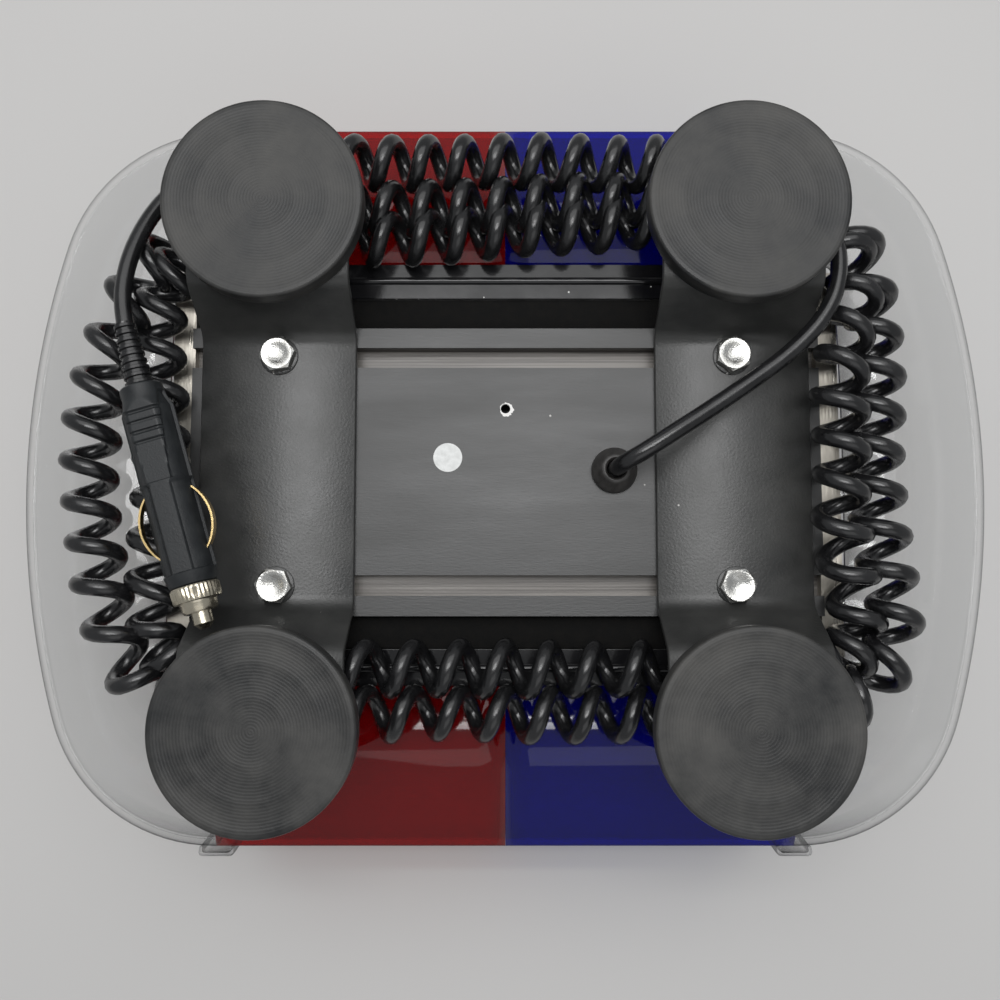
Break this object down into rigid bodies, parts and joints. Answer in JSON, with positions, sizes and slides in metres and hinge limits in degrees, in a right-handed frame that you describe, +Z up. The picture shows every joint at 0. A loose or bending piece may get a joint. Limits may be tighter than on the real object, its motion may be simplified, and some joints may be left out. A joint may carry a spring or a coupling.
{
  "type": "magnetic warning light bar",
  "caption": "Magnet-mounted warning light bar with red and blue lenses, clear end domes, strap brackets on round magnet feet and a curly cord with a vehicle plug wrapped under it.",
  "frame": {"origin": "centre of the four magnet faces, on the plane that they stand on", "axes": "+X along the bar towards the blue lens, +Z up in use, -Y towards the front; the underside faces -Z"},
  "size_m": [0.427, 0.3286, 0.1323],
  "materials": {
    "boot_rubber": "matte, moulded, dusty",
    "pot_steel": "zinc plated",
    "ferrite": "sintered ferrite",
    "bracket_black": "black satin powder coat",
    "bright_steel": "zinc plated",
    "bare_aluminium": "mill finish",
    "black_aluminium": "black anodised, satin",
    "gloss_black": "gloss, moulded",
    "red_plastic": "clear red, gloss",
    "blue_plastic": "clear blue, gloss",
    "clear_plastic": "water clear, gloss",
    "board_laminate": "solder resist",
    "lamp_package": "moulded, with a yellow window",
    "metallised_plastic": "vacuum metallised",
    "label_white": "paper-like film",
    "gland_black": "moulded nylon",
    "cord_black": "gloss sheath",
    "plug_black": "fine moulded texture",
    "nickel": "nickel plated",
    "contact_brass": "sprung, bright",
    "fuse_glass": "clear tube"
  },
  "bodies": {
    "housing": {"base_extrusion": "black_aluminium", "blank_label": "label_white", "blue_lamp_boards": "board_laminate", "blue_lamps": "lamp_package", "blue_lens": "blue_plastic", "blue_reflectors": "metallised_plastic", "curly_cord_first_lap": "cord_black", "curly_cord_second_lap": "cord_black", "curly_cord_third_lap": "cord_black", "end_angle_screws": "bright_steel", "flash_driver_board": "board_laminate", "front_rail": "gloss_black", "gland_body": "gland_black", "gland_nut": "gland_black", "lamp_tray": "bare_aluminium", "lead_cord": "cord_black", "left_dome": "clear_plastic", "left_end_angle": "bare_aluminium", "left_seam_collar": "clear_plastic", "plug_body_lower": "plug_black", "plug_body_upper": "plug_black", "plug_fuse": "fuse_glass", "plug_relief": "cord_black", "plug_ring": "nickel", "plug_screw": "bright_steel", "plug_spring": "nickel", "rear_rail": "gloss_black", "red_lamp_boards": "board_laminate", "red_lamps": "lamp_package", "red_lens": "red_plastic", "red_reflectors": "metallised_plastic", "right_dome": "clear_plastic", "right_end_angle": "bare_aluminium", "right_seam_collar": "clear_plastic", "tail_cord": "cord_black"},
    "left_bracket": {"left_bracket": "bracket_black", "left_bracket_bolts": "bright_steel", "left_bracket_washers": "bracket_black", "left_slot_nuts": "bright_steel", "left_foot_nuts": "bright_steel"},
    "right_bracket": {"right_bracket": "bracket_black", "right_bracket_bolts": "bright_steel", "right_bracket_washers": "bracket_black", "right_slot_nuts": "bright_steel", "right_foot_nuts": "bright_steel"},
    "front_left_foot": {"front_left_boot": "boot_rubber", "front_left_pot": "pot_steel", "front_left_magnet": "ferrite"},
    "front_right_foot": {"front_right_boot": "boot_rubber", "front_right_pot": "pot_steel", "front_right_magnet": "ferrite"},
    "rear_left_foot": {"rear_left_boot": "boot_rubber", "rear_left_pot": "pot_steel", "rear_left_magnet": "ferrite"},
    "rear_right_foot": {"rear_right_boot": "boot_rubber", "rear_right_pot": "pot_steel", "rear_right_magnet": "ferrite"},
    "plug_pin": {"plug_pin": "nickel"},
    "plug_contact_left": {"plug_contact_left": "contact_brass"},
    "plug_contact_right": {"plug_contact_right": "contact_brass"}
  },
  "joints": [
    {"name": "left_bracket_slide", "type": "slide", "parent": "housing", "child": "left_bracket", "axis": [1, 0, 0], "range_m": [0, 0.02]},
    {"name": "right_bracket_slide", "type": "slide", "parent": "housing", "child": "right_bracket", "axis": [-1, 0, 0], "range_m": [0, 0.006]},
    {"name": "front_left_foot_turn", "type": "hinge", "parent": "left_bracket", "child": "front_left_foot", "pos_m": [-0.094, -0.101, 0.012], "axis": [0, 0, 1], "continuous": true},
    {"name": "front_right_foot_turn", "type": "hinge", "parent": "right_bracket", "child": "front_right_foot", "pos_m": [0.094, -0.101, 0.012], "axis": [0, 0, 1], "continuous": true},
    {"name": "rear_left_foot_turn", "type": "hinge", "parent": "left_bracket", "child": "rear_left_foot", "pos_m": [-0.094, 0.101, 0.012], "axis": [0, 0, 1], "continuous": true},
    {"name": "rear_right_foot_turn", "type": "hinge", "parent": "right_bracket", "child": "rear_right_foot", "pos_m": [0.094, 0.101, 0.012], "axis": [0, 0, 1], "continuous": true},
    {"name": "plug_pin_press", "type": "slide", "parent": "housing", "child": "plug_pin", "axis": [-0.2823, -0.9593, 0], "range_m": [0, 0.004], "stiffness_N_per_m": 400, "springref_m": -0.002, "deforming": ["plug_spring"]},
    {"name": "plug_contact_right_press", "type": "slide", "parent": "housing", "child": "plug_contact_right", "axis": [0.9593, -0.2823, 0], "range_m": [0, 0.0015], "stiffness_N_per_m": 600, "springref_m": -0.001},
    {"name": "plug_contact_left_press", "type": "slide", "parent": "housing", "child": "plug_contact_left", "axis": [-0.9593, 0.2823, 0], "range_m": [0, 0.0015], "stiffness_N_per_m": 600, "springref_m": -0.001}
  ]
}
